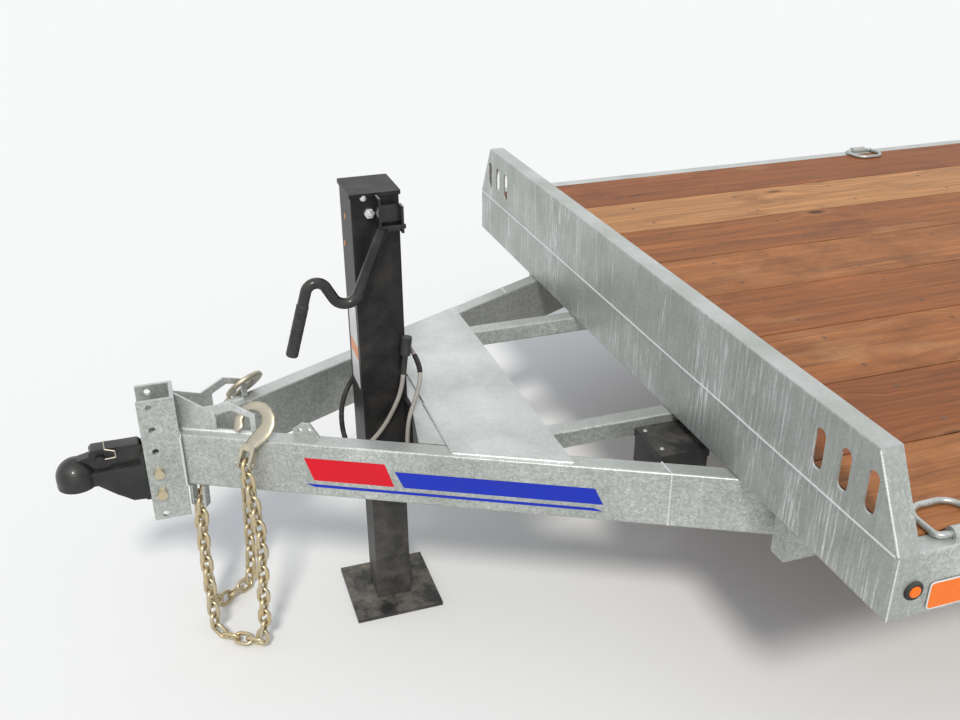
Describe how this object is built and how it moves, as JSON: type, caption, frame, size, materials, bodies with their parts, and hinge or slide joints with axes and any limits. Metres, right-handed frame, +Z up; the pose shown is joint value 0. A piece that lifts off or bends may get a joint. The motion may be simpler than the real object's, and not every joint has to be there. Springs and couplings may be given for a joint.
{
  "type": "equipment trailer",
  "caption": "Deck-over equipment trailer with a plank deck between tube rails, an A-shaped tongue with ball coupler and jack, tandem axles, a dovetail and stand-up ramps.",
  "frame": {"origin": "on the floor, under the middle of the trailer's overall box without its cable", "axes": "+X forward to the coupler, +Y to the trailer's left, +Z up"},
  "size_m": [7.7052, 2.4564, 2.071],
  "materials": {
    "galvanised": "hot-dip galvanised, dull spangle",
    "planks": "stained softwood",
    "tyre": "matt black rubber",
    "wheel": "silver enamel",
    "black_enamel": "gloss black enamel",
    "cast_black": "black enamel on a casting",
    "gold_zinc": "yellow zinc plate",
    "cable_grey": "warm grey jacket",
    "black_plastic": "black moulded plastic",
    "black_rubber": "black rubber",
    "amber_lens": "amber lens",
    "red_lens": "red lens"
  },
  "bodies": {
    "root": {"side_rail_left": "galvanised", "side_rail_right": "galvanised", "front_header": "galvanised", "rear_header": "galvanised", "bulkhead": "galvanised", "deck_planks": "planks", "tail_planks": "planks", "tail_cleats": "galvanised", "crossmembers": "galvanised", "main_rail_left": "galvanised", "main_rail_right": "galvanised", "tongue_tube_left": "galvanised", "tongue_tube_right": "galvanised", "coupler_channel": "galvanised", "coupler": "cast_black", "coupler_latch": "cast_black", "coupler_bolts": "gold_zinc", "hook_plates": "galvanised", "tongue_plate": "galvanised", "tongue_braces": "galvanised", "jack_crossmember": "galvanised", "jack_plate": "galvanised", "lamp_grommets": "black_rubber", "jack_housing": "black_enamel", "jack_leg": "black_enamel", "jack_foot": "black_enamel", "jack_crank": "black_enamel", "axle_front": "galvanised", "axle_rear": "galvanised", "leaf_springs": "black_enamel", "spring_hangers": "galvanised", "hinge_rods": "gold_zinc", "marker_lamps": "amber_lens", "reflectors": "amber_lens", "tail_lamps": "red_lens", "chain_hooks": "gold_zinc", "battery_box": "black_plastic", "cable_bracket": "galvanised", "trailer_cable": "cable_grey", "cable_grommet": "black_rubber", "cable_plug": "black_plastic", "deck_rings": "galvanised", "ring_clips": "galvanised", "safety_chain_left": "gold_zinc", "safety_chain_right": "gold_zinc", "chain_anchors": "galvanised"},
    "wheel_front_left": {"tyre_front_left": "tyre", "wheel_front_left": "wheel"},
    "wheel_front_right": {"tyre_front_right": "tyre", "wheel_front_right": "wheel"},
    "wheel_rear_left": {"tyre_rear_left": "tyre", "wheel_rear_left": "wheel"},
    "wheel_rear_right": {"tyre_rear_right": "tyre", "wheel_rear_right": "wheel"},
    "ramp_left": {"ramp_left": "galvanised"},
    "ramp_right": {"ramp_right": "galvanised"}
  },
  "joints": [
    {"name": "wheel_front_left_spin", "type": "hinge", "parent": "root", "child": "wheel_front_left", "pos_m": [-1.10624, 1.0485, 0.3595], "axis": [0, 1, 0], "continuous": true},
    {"name": "wheel_front_right_spin", "type": "hinge", "parent": "root", "child": "wheel_front_right", "pos_m": [-1.10624, -1.0485, 0.3595], "axis": [0, 1, 0], "continuous": true},
    {"name": "wheel_rear_left_spin", "type": "hinge", "parent": "root", "child": "wheel_rear_left", "pos_m": [-1.94424, 1.0485, 0.3595], "axis": [0, 1, 0], "continuous": true},
    {"name": "wheel_rear_right_spin", "type": "hinge", "parent": "root", "child": "wheel_rear_right", "pos_m": [-1.94424, -1.0485, 0.3595], "axis": [0, 1, 0], "continuous": true},
    {"name": "ramp_left_hinge", "type": "hinge", "parent": "root", "child": "ramp_left", "pos_m": [-3.82344, 0.8, 0.55641], "axis": [0, -1, 0], "range_deg": [0, 117]},
    {"name": "ramp_right_hinge", "type": "hinge", "parent": "root", "child": "ramp_right", "pos_m": [-3.82344, -0.8, 0.55641], "axis": [0, -1, 0], "range_deg": [0, 117]}
  ]
}
